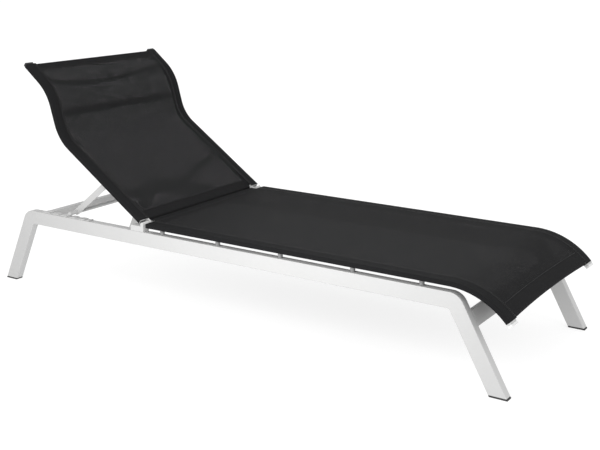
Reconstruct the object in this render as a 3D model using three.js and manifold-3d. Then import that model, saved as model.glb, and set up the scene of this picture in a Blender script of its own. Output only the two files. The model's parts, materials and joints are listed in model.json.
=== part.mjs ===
// Reclining sun lounger: an aluminium frame with splayed legs, a seat sling and a hinged sling
// backrest held up by a prop in a notched rack. Millimetres, +Z up, +X towards the foot end,
// +Y towards the left of a person lying on it. The origin is on the floor under the middle.
import * as THREE from 'three';
import { mergeVertices } from 'three/addons/utils/BufferGeometryUtils.js';
import Module from 'manifold-3d';

const wasm = await Module();
wasm.setup();

// Driving dimensions
const GAP = 0.3;                 // clearance between pieces that touch
const ARC_STEP = 6;              // degrees per facet on a bend
const ROUND_SIDES = 20;          // facets round a tube or bolt
const OVERRUN = 1;               // how far a cutting tool passes the faces it opens

const FRAME_WIDTH = 700;
const TUBE_HEIGHT = 50;
const TUBE_WIDTH = 30;
const TUBE_WALL = 2;
const RAIL_TOP = 291;
const GLIDE_HEIGHT = 5;
const HEAD_CORNER_X = -870;      // sharp inner corners between rail and legs
const FOOT_CORNER_X = 846;
const HEAD_LEG_ANGLE = 25.6;     // degrees out of vertical
const FOOT_LEG_ANGLE = 29.3;

const FOOT_CROSS_DROP = 29;      // from the inner corner, measured down the leg
const HEAD_CROSS_SIZE = 25;
const HEAD_CROSS_X = -812.5;
const HEAD_CROSS_TOP = 290;

const SLING_TUBE_WIDTH = 40;
const SLING_TUBE_HEIGHT = 14;
const SLING_TUBE_WALL = 1.5;
const SPACER_HEIGHT = 18;
const SPACER_RADIUS = 8;
const SPACER_X = [-241, -1, 250, 517, 751];
const SLING_LIFT = 0.4;          // fabric above the tube
const SLING_THICKNESS = 1.6;

const SEAT_START_X = -302;
const SEAT_CURVE_X = 838;
const SEAT_CURVE_RADIUS = 258;
const SEAT_CURVE_TURN = 48.5;
const FOOT_PLUG_LENGTH = 9;
const SEAT_PLUG_LENGTH = 3;
const SEAT_NOTCH_LENGTH = 30;    // corner cut out of the sling beside the hinge
const SEAT_NOTCH_WIDTH = 52;

const HINGE_X = -327;
const HINGE_TUBE_RADIUS = 7;
const HINGE_LIP_RADIUS = 11;     // saddle round the hinge tube, on the foot side
const HINGE_SHELF_DROP = 5;      // block top below the axis, so that the backrest can lie flat
const HINGE_BORE_DEPTH = 25;
const HINGE_BLOCK_HEAD = 47;     // block length on the head side of the axis
const HINGE_BLOCK_CHAMFER = 4;
const HINGE_LIP_TURN = 60;       // degrees that the lip rises round the hinge tube

const BACK_ANGLE = 34.7;         // degrees above level as stored
const BACK_HALF_WIDTH = 346;
const BACK_START = 9.5;          // along the backrest from the hinge axis
const BACK_RISE = 4;             // tube centre above the hinge axis when level
const BACK_STRAIGHT = 407;       // hinge axis to the start of the neck bend
const NECK_RADIUS = 147;
const NECK_TURN = 40;
const NECK_STRAIGHT = 64;
const CROWN_RADIUS = 170;
const CROWN_TURN = 36;
const HEAD_STRAIGHT = 80;
const NECK_TUBE_RADIUS = 12.5;
const NECK_TUBE_DROP = 3;        // below the top of the side tubes, clear of the sling
const HEAD_TUBE_RADIUS = 9;
const HEAD_TUBE_BOW = 44;        // how far its middle sits behind the sling
const CROSS_TUBE_WALL = 1.5;
const TOP_PLUG_LENGTH = 8;
const BACK_LOWER_TUBE_X = 18;
const BACK_LOWER_TUBE_DROP = 5;  // its centre below the side tubes, so that the slings meet
const BACK_SLING_START = 10;

const EAR_RADIUS = 10.5;
const EAR_THICKNESS = 6;
const EAR_LENGTH = 64;
const EAR_CLEARANCE = 0.5;
const WELD_INSET = 1;            // welded plates stop this far inside the tube's faces

const PROP_PIVOT = { along: 222, below: 0.8 };
const PROP_ROD = { x: -686, z: 302.5 };
const PROP_BAR_WIDTH = 22;
const PROP_BAR_THICKNESS = 5;
const PROP_ARM_Y = 298.5;
const PROP_ROD_RADIUS = 7;
const PROP_ROD_END = 337;
const PROP_BOLT_RADIUS = 5;
const PROP_BOLT_HEAD_RADIUS = 9;
const PROP_LUG_RADIUS = 11;

const RACK_START_X = -812;
const RACK_END_X = -580;
const RACK_INNER_Y = 322;
const RACK_OUTER_Y = 347;
const RACK_CREST = 295.1;
const RACK_FLOOR = 292.6;
const RACK_PITCH = 44.1;
const RACK_NOTCHES = [-2, -1, 0, 1, 2];
const NOTCH_HALF_WIDTH = 7.5;

const degrees = THREE.MathUtils.degToRad;
const railInside = FRAME_WIDTH / 2 - TUBE_WIDTH;
const railBottom = RAIL_TOP - TUBE_HEIGHT;
const slingTubeZ = RAIL_TOP + SPACER_HEIGHT + SLING_TUBE_HEIGHT / 2;
const slingTubeInside = FRAME_WIDTH / 2 - SLING_TUBE_WIDTH;
const slingLow = SLING_TUBE_HEIGHT / 2 + SLING_LIFT;
const slingHigh = slingLow + SLING_THICKNESS;
const hingeZ = slingTubeZ;

// Materials
const paint = new THREE.MeshStandardMaterial({ color: 0xdcdcda, roughness: 0.45, metalness: 0.1 });
const mesh = new THREE.MeshStandardMaterial({ color: 0x333333, roughness: 0.9, metalness: 0 });
const plastic = new THREE.MeshStandardMaterial({ color: 0x151515, roughness: 0.6, metalness: 0 });
const capPlastic = new THREE.MeshStandardMaterial({ color: 0xcccccc, roughness: 0.5, metalness: 0 });
const steel = new THREE.MeshStandardMaterial({ color: 0xb5b5b5, roughness: 0.3, metalness: 1 });

const lounger = new THREE.Group();
const backrest = new THREE.Group();
const prop = new THREE.Group();

function add(group, name, geometry, material) {
  const piece = new THREE.Mesh(geometry, material);
  piece.name = name;
  group.add(piece);
  return piece;
}

function solid(geometry) {
  const bare = geometry.clone();
  bare.deleteAttribute('normal');
  bare.deleteAttribute('uv');
  const merged = mergeVertices(bare, 1e-4);
  return new wasm.Manifold(new wasm.Mesh({
    numProp: 3,
    vertProperties: Float32Array.from(merged.attributes.position.array),
    triVerts: Uint32Array.from(merged.index.array),
  }));
}

function geometryOf(manifold) {
  const result = manifold.getMesh();
  const geometry = new THREE.BufferGeometry();
  geometry.setAttribute('position', new THREE.BufferAttribute(result.vertProperties, 3));
  geometry.setIndex(new THREE.BufferAttribute(result.triVerts, 1));
  return geometry;
}

function cut(geometry, ...tools) {
  return geometryOf(tools.reduce((rest, tool) => rest.subtract(solid(tool)), solid(geometry)));
}

// A side-view outline drawn in X and Z, made into a solid between two Y values.
function across(shape, yLow, yHigh) {
  const geometry = new THREE.ExtrudeGeometry(shape, {
    depth: yHigh - yLow,
    bevelEnabled: false,
    curveSegments: 8,
  });
  geometry.rotateX(Math.PI / 2);
  geometry.translate(0, yHigh, 0);
  return geometry;
}

// The same solid on the side given by side, -1 for right and 1 for left.
function onSide(shape, side, inner, outer) {
  return side < 0 ? across(shape, -outer, -inner) : across(shape, inner, outer);
}

function outline(points) {
  return new THREE.Shape(points.map(([x, z]) => new THREE.Vector2(x, z)));
}

function circle(x, z, radius) {
  const points = [];
  for (let i = 0; i < ROUND_SIDES; i += 1) {
    const angle = (2 * Math.PI * i) / ROUND_SIDES;
    points.push([x + radius * Math.cos(angle), z + radius * Math.sin(angle)]);
  }
  return outline(points);
}

// A round bar across the frame.
function crossBar(x, z, radius, yLow, yHigh) {
  return across(circle(x, z, radius), yLow, yHigh);
}

function crossTube(x, z, radius, half) {
  return cut(
    crossBar(x, z, radius, -half, half),
    crossBar(x, z, radius - CROSS_TUBE_WALL, -half - OVERRUN, half + OVERRUN),
  );
}

function box(xLow, xHigh, yLow, yHigh, zLow, zHigh) {
  const geometry = new THREE.BoxGeometry(xHigh - xLow, yHigh - yLow, zHigh - zLow);
  geometry.translate((xLow + xHigh) / 2, (yLow + yHigh) / 2, (zLow + zHigh) / 2);
  return geometry;
}

// Points along a side-view path of straights and bends, each with its unit normal.
function walk(x, z, heading, segments) {
  const points = [];
  let angle = degrees(heading);
  const mark = () => points.push({ x, z, nx: -Math.sin(angle), nz: Math.cos(angle) });
  mark();
  for (const { length = 0, radius = 0, turn = 0 } of segments) {
    const steps = turn === 0 ? 1 : Math.ceil(Math.abs(turn) / ARC_STEP);
    const bend = degrees(turn) / steps;
    const step = turn === 0 ? length : 2 * radius * Math.sin(Math.abs(bend) / 2);
    for (let i = 0; i < steps; i += 1) {
      angle += bend / 2;
      x += step * Math.cos(angle);
      z += step * Math.sin(angle);
      angle += bend / 2;
      mark();
    }
  }
  return points;
}

// The band between two offsets from a path.
function band(path, low, high) {
  const offset = (distance) => path.map(({ x, z, nx, nz }) => [x + distance * nx, z + distance * nz]);
  return outline([...offset(low), ...offset(high).reverse()]);
}

// Paths: the seat tube drops at the foot, the backrest tube rises over the neck when level
const seatPath = walk(SEAT_START_X, slingTubeZ, 0, [
  { length: SEAT_CURVE_X - SEAT_START_X },
  { radius: SEAT_CURVE_RADIUS, turn: -SEAT_CURVE_TURN },
]);
const seatEnd = seatPath.at(-1);

function backPath(start) {
  return walk(-start, BACK_RISE, 180, [
    { length: BACK_STRAIGHT - start },
    { radius: NECK_RADIUS, turn: -NECK_TURN },
    { length: NECK_STRAIGHT },
    { radius: CROWN_RADIUS, turn: CROWN_TURN },
    { length: HEAD_STRAIGHT },
  ]);
}

// On the backrest path the fabric side is on the right of the direction of travel.
const backTubePath = backPath(BACK_START);
const neckPoint = backTubePath[1 + Math.ceil(NECK_TURN / ARC_STEP)];
const crownPoint = backTubePath.at(-2);
const backEnd = backTubePath.at(-1);

// A point reached from a path point by going along the path and then behind the fabric.
function beside({ x, z, nx, nz }, along, behind) {
  return { x: x + along * nz + behind * nx, z: z - along * nx + behind * nz };
}

function hollowBand(path, side, outerY) {
  const half = SLING_TUBE_HEIGHT / 2;
  const inner = half - SLING_TUBE_WALL;
  const skin = onSide(band(path, -half, half), side, slingTubeInside, outerY);
  const first = path[0];
  const last = path.at(-1);
  const open = [
    { ...first, x: first.x - first.nz, z: first.z + first.nx },
    ...path,
    { ...last, x: last.x + last.nz, z: last.z - last.nx },
  ];
  const hollow = onSide(
    band(open, -inner, inner),
    side,
    slingTubeInside + SLING_TUBE_WALL,
    outerY - SLING_TUBE_WALL,
  );
  return cut(skin, hollow);
}

// Frame
function addRail(side, name) {
  const inner = railInside;
  const outer = FRAME_WIDTH / 2;
  const rectangle = (inset, overrun) => outline([
    [HEAD_CORNER_X + GAP - overrun, railBottom + inset],
    [FOOT_CORNER_X - GAP + overrun, railBottom + inset],
    [FOOT_CORNER_X - GAP + overrun, RAIL_TOP - inset],
    [HEAD_CORNER_X + GAP - overrun, RAIL_TOP - inset],
  ]);
  const core = onSide(rectangle(TUBE_WALL, OVERRUN), side, inner + TUBE_WALL, outer - TUBE_WALL);
  add(lounger, name, cut(onSide(rectangle(0, 0), side, inner, outer), core), paint);
}

// Leg outline with the rounded rail corner; end is -1 for the head and 1 for the foot. The
// inset draws the same outline one wall further in, running out at both open ends.
function legOutline(end, cornerX, leanAngle, inset) {
  const lean = degrees(leanAngle);
  const overrun = inset > 0 ? OVERRUN : 0;
  const low = GLIDE_HEIGHT - overrun;
  const reach = TUBE_HEIGHT - inset;
  const legX = (depth) => (
    cornerX + end * (depth / Math.cos(lean) + (railBottom - low) * Math.tan(lean))
  );
  const innerX = cornerX + (end * inset * (1 - Math.sin(lean))) / Math.cos(lean);
  const points = [[cornerX - end * overrun, railBottom + inset]];
  if (inset > 0) points.push([innerX, railBottom + inset]);
  points.push([legX(inset), low]);
  points.push([legX(reach), low]);
  const steps = Math.ceil((90 - leanAngle) / ARC_STEP);
  for (let i = 0; i <= steps; i += 1) {
    const angle = lean + ((Math.PI / 2 - lean) * i) / steps;
    points.push([cornerX + end * reach * Math.cos(angle), railBottom + reach * Math.sin(angle)]);
  }
  if (inset > 0) points.push([cornerX - end * overrun, railBottom + reach]);
  return outline(points);
}

function addLeg(end, side, cornerX, leanAngle, name) {
  const skin = onSide(legOutline(end, cornerX, leanAngle, 0), side, railInside, FRAME_WIDTH / 2);
  const core = onSide(
    legOutline(end, cornerX, leanAngle, TUBE_WALL),
    side,
    railInside + TUBE_WALL,
    FRAME_WIDTH / 2 - TUBE_WALL,
  );
  add(lounger, `${name}_leg`, cut(skin, core), paint);
  const lean = degrees(leanAngle);
  const toeX = cornerX + end * railBottom * Math.tan(lean);
  const sole = onSide(outline([
    [toeX, 0],
    [toeX + (end * TUBE_HEIGHT) / Math.cos(lean), 0],
    [toeX + end * (TUBE_HEIGHT / Math.cos(lean) - GLIDE_HEIGHT * Math.tan(lean)), GLIDE_HEIGHT - GAP],
    [toeX - end * GLIDE_HEIGHT * Math.tan(lean), GLIDE_HEIGHT - GAP],
  ]), side, railInside, FRAME_WIDTH / 2);
  add(lounger, `${name}_glide`, sole, plastic);
}

function addCrossRails() {
  const lean = degrees(FOOT_LEG_ANGLE);
  const down = (distance, depth) => [
    FOOT_CORNER_X + depth * Math.cos(lean) + distance * Math.sin(lean),
    railBottom + depth * Math.sin(lean) - distance * Math.cos(lean),
  ];
  const section = (inset) => outline([
    down(FOOT_CROSS_DROP + inset, TUBE_HEIGHT - inset),
    down(FOOT_CROSS_DROP + inset, TUBE_HEIGHT - TUBE_WIDTH + inset),
    down(FOOT_CROSS_DROP + TUBE_HEIGHT - inset, TUBE_HEIGHT - TUBE_WIDTH + inset),
    down(FOOT_CROSS_DROP + TUBE_HEIGHT - inset, TUBE_HEIGHT - inset),
  ]);
  const half = railInside - GAP;
  add(lounger, 'foot_cross_rail', cut(
    across(section(0), -half, half),
    across(section(TUBE_WALL), -half - OVERRUN, half + OVERRUN),
  ), paint);
  const low = HEAD_CROSS_TOP - HEAD_CROSS_SIZE;
  const right = HEAD_CROSS_X + HEAD_CROSS_SIZE / 2;
  const left = HEAD_CROSS_X - HEAD_CROSS_SIZE / 2;
  add(lounger, 'head_cross_rail', cut(
    box(left, right, -half, half, low, HEAD_CROSS_TOP),
    box(
      left + TUBE_WALL, right - TUBE_WALL, -half - OVERRUN, half + OVERRUN,
      low + TUBE_WALL, HEAD_CROSS_TOP - TUBE_WALL,
    ),
  ), paint);
}

// Prop geometry as stored, worked out from the hinge
const backAngle = degrees(BACK_ANGLE);
const propPivotX = HINGE_X - PROP_PIVOT.along * Math.cos(backAngle)
  - PROP_PIVOT.below * Math.sin(backAngle);
const propPivotZ = hingeZ + PROP_PIVOT.along * Math.sin(backAngle)
  - PROP_PIVOT.below * Math.cos(backAngle);
const propLength = Math.hypot(propPivotX - PROP_ROD.x, propPivotZ - PROP_ROD.z);
const propAngle = Math.atan2(propPivotZ - PROP_ROD.z, propPivotX - PROP_ROD.x);

// Toothed strip on the rail: each notch is steep on its head side and sloped on its foot side.
function addRack(side, name) {
  const points = [[RACK_START_X, RAIL_TOP + GAP], [RACK_START_X, RACK_CREST]];
  for (const step of RACK_NOTCHES) {
    const x = PROP_ROD.x + step * RACK_PITCH;
    points.push([x - NOTCH_HALF_WIDTH, RACK_CREST]);
    points.push([x - NOTCH_HALF_WIDTH + 1, RACK_FLOOR]);
    points.push([x + NOTCH_HALF_WIDTH / 2, RACK_FLOOR]);
    points.push([x + 2 * NOTCH_HALF_WIDTH, RACK_CREST]);
  }
  points.push([RACK_END_X - 1, RACK_CREST]);
  points.push([RACK_END_X, RACK_CREST - 1]);
  points.push([RACK_END_X, RAIL_TOP + GAP]);
  const strip = onSide(outline(points), side, RACK_INNER_Y, RACK_OUTER_Y);
  add(lounger, `${name}_rack`, strip, paint);
}

function addHingeBlock(side, name) {
  const baseZ = RAIL_TOP + GAP;
  const shelf = hingeZ - HINGE_SHELF_DROP;
  const headEnd = HINGE_X - HINGE_BLOCK_HEAD;
  const points = [[headEnd, baseZ], [HINGE_X + HINGE_LIP_RADIUS, baseZ]];
  for (let turn = 0; turn <= HINGE_LIP_TURN; turn += ARC_STEP) {
    const angle = degrees(turn);
    const x = HINGE_X + HINGE_LIP_RADIUS * Math.cos(angle);
    points.push([x, hingeZ + HINGE_LIP_RADIUS * Math.sin(angle)]);
  }
  points.push([HINGE_X, hingeZ]);
  points.push([HINGE_X, shelf]);
  points.push([headEnd + HINGE_BLOCK_CHAMFER, shelf]);
  points.push([headEnd, shelf - HINGE_BLOCK_CHAMFER]);
  const bore = onSide(
    circle(HINGE_X, hingeZ, HINGE_TUBE_RADIUS + GAP),
    side,
    railInside - OVERRUN,
    railInside + HINGE_BORE_DEPTH,
  );
  const block = onSide(outline(points), side, railInside, FRAME_WIDTH / 2);
  add(lounger, `${name}_hinge_block`, cut(block, bore), paint);
}

function addSpacers(side, name) {
  SPACER_X.forEach((x, i) => {
    const spacer = new THREE.CylinderGeometry(
      SPACER_RADIUS, SPACER_RADIUS, SPACER_HEIGHT - 2 * GAP, ROUND_SIDES,
    );
    spacer.rotateX(Math.PI / 2);
    spacer.translate(x, side * (railInside + TUBE_WIDTH / 2), RAIL_TOP + SPACER_HEIGHT / 2);
    add(lounger, `${name}_spacer_${i + 1}`, spacer, plastic);
  });
}

// Seat sling frame
function addSeatTube(side, name) {
  add(lounger, `${name}_seat_tube`, hollowBand(seatPath, side, FRAME_WIDTH / 2), paint);
  const heading = -SEAT_CURVE_TURN;
  const half = SLING_TUBE_HEIGHT / 2;
  const first = { x: seatEnd.x, z: seatEnd.z };
  const ahead = (distance) => [
    first.x + distance * Math.cos(degrees(heading)),
    first.z + distance * Math.sin(degrees(heading)),
  ];
  const plugPath = walk(...ahead(GAP), heading, [{ length: FOOT_PLUG_LENGTH - GAP }]);
  const plug = onSide(band(plugPath, -half, half), side, slingTubeInside, FRAME_WIDTH / 2);
  add(lounger, `${name}_foot_plug`, plug, capPlastic);
  const seatPlugStart = SEAT_START_X - SEAT_PLUG_LENGTH - GAP;
  const headPlug = onSide(
    band(walk(seatPlugStart, slingTubeZ, 0, [{ length: SEAT_PLUG_LENGTH }]), -half, half),
    side,
    slingTubeInside,
    FRAME_WIDTH / 2,
  );
  add(lounger, `${name}_seat_plug`, headPlug, plastic);
}

function addSeatSling() {
  const half = FRAME_WIDTH / 2;
  const main = across(band(seatPath, slingLow, slingHigh), -half, half);
  const tongue = across(
    band(walk(SEAT_START_X - SEAT_NOTCH_LENGTH, slingTubeZ, 0, [{ length: SEAT_NOTCH_LENGTH + OVERRUN }]),
      slingLow, slingHigh),
    SEAT_NOTCH_WIDTH - half,
    half - SEAT_NOTCH_WIDTH,
  );
  add(lounger, 'seat_sling', geometryOf(solid(main).add(solid(tongue))), mesh);
  const rod = seatPath.at(-2);
  const inner = slingTubeInside - GAP;
  add(lounger, 'seat_foot_tube', crossTube(rod.x, rod.z, HINGE_TUBE_RADIUS, inner), paint);
}

// Backrest, modelled level with its hinge axis at the group's origin
function addBackTube(side, name) {
  add(backrest, `${name}_back_tube`, hollowBand(backTubePath, side, BACK_HALF_WIDTH), paint);
  const half = SLING_TUBE_HEIGHT / 2;
  const start = beside(backEnd, GAP, 0);
  const heading = 180 - NECK_TURN + CROWN_TURN;
  const plug = onSide(
    band(walk(start.x, start.z, heading, [{ length: TOP_PLUG_LENGTH }]), -half, half),
    side,
    slingTubeInside,
    BACK_HALF_WIDTH,
  );
  add(backrest, `${name}_top_plug`, plug, plastic);
}

function addEar(side, name) {
  const outer = slingTubeInside - GAP;
  const inner = outer - EAR_THICKNESS;
  const points = [];
  for (let turn = -102; turn <= 102; turn += 2 * ARC_STEP) {
    const angle = degrees(turn);
    points.push([EAR_RADIUS * Math.cos(angle), EAR_RADIUS * Math.sin(angle)]);
  }
  points.push([-EAR_LENGTH, BACK_RISE + SLING_TUBE_HEIGHT / 2 - WELD_INSET]);
  points.push([-EAR_LENGTH, BACK_RISE - SLING_TUBE_HEIGHT / 2 + WELD_INSET]);
  const hole = circle(0, 0, HINGE_TUBE_RADIUS + EAR_CLEARANCE);
  const bore = onSide(hole, side, inner - OVERRUN, outer + OVERRUN);
  add(backrest, `${name}_hinge_ear`, cut(onSide(outline(points), side, inner, outer), bore), paint);
}

function addPropLug(side, name) {
  const outer = slingTubeInside - GAP;
  const inner = PROP_ARM_Y + PROP_BAR_THICKNESS / 2 + GAP;
  const { along, below } = PROP_PIVOT;
  const points = [];
  for (let turn = 180; turn <= 360; turn += 2 * ARC_STEP) {
    const angle = degrees(turn);
    points.push([
      -along + PROP_LUG_RADIUS * Math.cos(angle),
      -below + PROP_LUG_RADIUS * Math.sin(angle),
    ]);
  }
  points.push([-along + 2 * PROP_LUG_RADIUS, BACK_RISE + SLING_TUBE_HEIGHT / 2 - WELD_INSET]);
  points.push([-along - 2 * PROP_LUG_RADIUS, BACK_RISE + SLING_TUBE_HEIGHT / 2 - WELD_INSET]);
  const hole = circle(-along, -below, PROP_BOLT_RADIUS + GAP);
  const bore = onSide(hole, side, inner - OVERRUN, outer + OVERRUN);
  const plate = onSide(outline(points), side, inner, outer);
  add(backrest, `${name}_prop_lug`, cut(plate, bore), paint);
  const armInner = PROP_ARM_Y - PROP_BAR_THICKNESS / 2 - GAP;
  const shank = onSide(circle(-along, -below, PROP_BOLT_RADIUS), side, armInner - OVERRUN, outer);
  const headShape = circle(-along, -below, PROP_BOLT_HEAD_RADIUS);
  const head = onSide(headShape, side, armInner - PROP_BAR_THICKNESS, armInner);
  add(backrest, `${name}_prop_bolt`, geometryOf(solid(shank).add(solid(head))), steel);
}

// The head tube bows back in the middle, so that it stays off the head.
function addHeadTube() {
  const half = slingTubeInside - GAP;
  const ends = beside(crownPoint, 0, HEAD_TUBE_RADIUS - SLING_TUBE_HEIGHT / 2);
  const middle = beside({ ...crownPoint, ...ends }, 0, 2 * HEAD_TUBE_BOW);
  const curve = new THREE.QuadraticBezierCurve3(
    new THREE.Vector3(ends.x, -half - HEAD_TUBE_RADIUS, ends.z),
    new THREE.Vector3(middle.x, 0, middle.z),
    new THREE.Vector3(ends.x, half + HEAD_TUBE_RADIUS, ends.z),
  );
  const section = circle(0, 0, HEAD_TUBE_RADIUS);
  const bar = new THREE.ExtrudeGeometry(section, { steps: 24, extrudePath: curve, bevelEnabled: false });
  const reach = 2 * HEAD_TUBE_BOW;
  const room = box(ends.x - reach, ends.x + reach, -half, half, ends.z - reach, ends.z + reach);
  add(backrest, 'head_tube', geometryOf(solid(bar).intersect(solid(room))), paint);
}

function addBackCrossTubes() {
  const half = slingTubeInside - GAP;
  const lowerHalf = half - EAR_THICKNESS - GAP;
  const lowerUp = BACK_RISE - BACK_LOWER_TUBE_DROP;
  const lower = crossTube(-BACK_LOWER_TUBE_X, lowerUp, HINGE_TUBE_RADIUS, lowerHalf);
  add(backrest, 'back_lower_tube', lower, paint);
  const neckDepth = NECK_TUBE_RADIUS - SLING_TUBE_HEIGHT / 2 + NECK_TUBE_DROP;
  const neck = beside(neckPoint, NECK_STRAIGHT / 2, neckDepth);
  add(backrest, 'neck_tube', crossTube(neck.x, neck.z, NECK_TUBE_RADIUS, half), paint);
  const top = beside(backEnd, -2 * HINGE_TUBE_RADIUS, 0);
  add(backrest, 'head_end_tube', crossTube(top.x, top.z, HINGE_TUBE_RADIUS, half), paint);
}

function addBackSling() {
  const path = backPath(BACK_SLING_START);
  const cloth = across(band(path, -slingHigh, -slingLow), -BACK_HALF_WIDTH, BACK_HALF_WIDTH);
  add(backrest, 'back_sling', cloth, mesh);
}

// Prop, modelled level behind its pivot
function addProp() {
  const end = PROP_BAR_WIDTH / 2;
  const points = [];
  for (let turn = -90; turn <= 90; turn += 2 * ARC_STEP) {
    const angle = degrees(turn);
    points.push([end * Math.cos(angle), end * Math.sin(angle)]);
  }
  for (let turn = 90; turn <= 270; turn += 2 * ARC_STEP) {
    const angle = degrees(turn);
    points.push([-propLength + end * Math.cos(angle), end * Math.sin(angle)]);
  }
  const low = PROP_ARM_Y - PROP_BAR_THICKNESS / 2;
  const high = PROP_ARM_Y + PROP_BAR_THICKNESS / 2;
  for (const [side, name] of [[-1, 'right'], [1, 'left']]) {
    const bar = onSide(outline(points), side, low, high);
    const hole = circle(0, 0, PROP_BOLT_RADIUS + GAP);
    const boltBore = onSide(hole, side, low - OVERRUN, high + OVERRUN);
    const socket = circle(-propLength, 0, PROP_ROD_RADIUS + GAP);
    const rodBore = onSide(socket, side, low - OVERRUN, high + OVERRUN);
    add(prop, `${name}_prop_arm`, cut(bar, boltBore, rodBore), paint);
  }
  add(prop, 'prop_rod', crossBar(-propLength, 0, PROP_ROD_RADIUS, -PROP_ROD_END, PROP_ROD_END), paint);
}

for (const [side, name] of [[-1, 'right'], [1, 'left']]) {
  addRail(side, `${name}_rail`);
  addLeg(-1, side, HEAD_CORNER_X, HEAD_LEG_ANGLE, `${name}_head`);
  addLeg(1, side, FOOT_CORNER_X, FOOT_LEG_ANGLE, `${name}_foot`);
  addRack(side, name);
  addHingeBlock(side, name);
  addSpacers(side, name);
  addSeatTube(side, name);
  addBackTube(side, name);
  addEar(side, name);
  addPropLug(side, name);
}
addCrossRails();
const hingeTubeHalf = railInside + HINGE_BORE_DEPTH - GAP;
add(lounger, 'hinge_tube', crossTube(HINGE_X, hingeZ, HINGE_TUBE_RADIUS, hingeTubeHalf), paint);
addSeatSling();
addHeadTube();
addBackCrossTubes();
addBackSling();
addProp();

backrest.position.set(HINGE_X, 0, hingeZ);
backrest.rotation.y = backAngle;
prop.position.set(propPivotX, 0, propPivotZ);
prop.rotation.y = -propAngle;
lounger.add(backrest, prop);

export default lounger;
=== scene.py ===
"""Reclining sun lounger with a powder-coated frame and two woven slings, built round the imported
frame. Metres, +Z up, +X towards the foot end, +Y towards the left of the person lying on it."""

import json
import math
from dataclasses import dataclass

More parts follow.
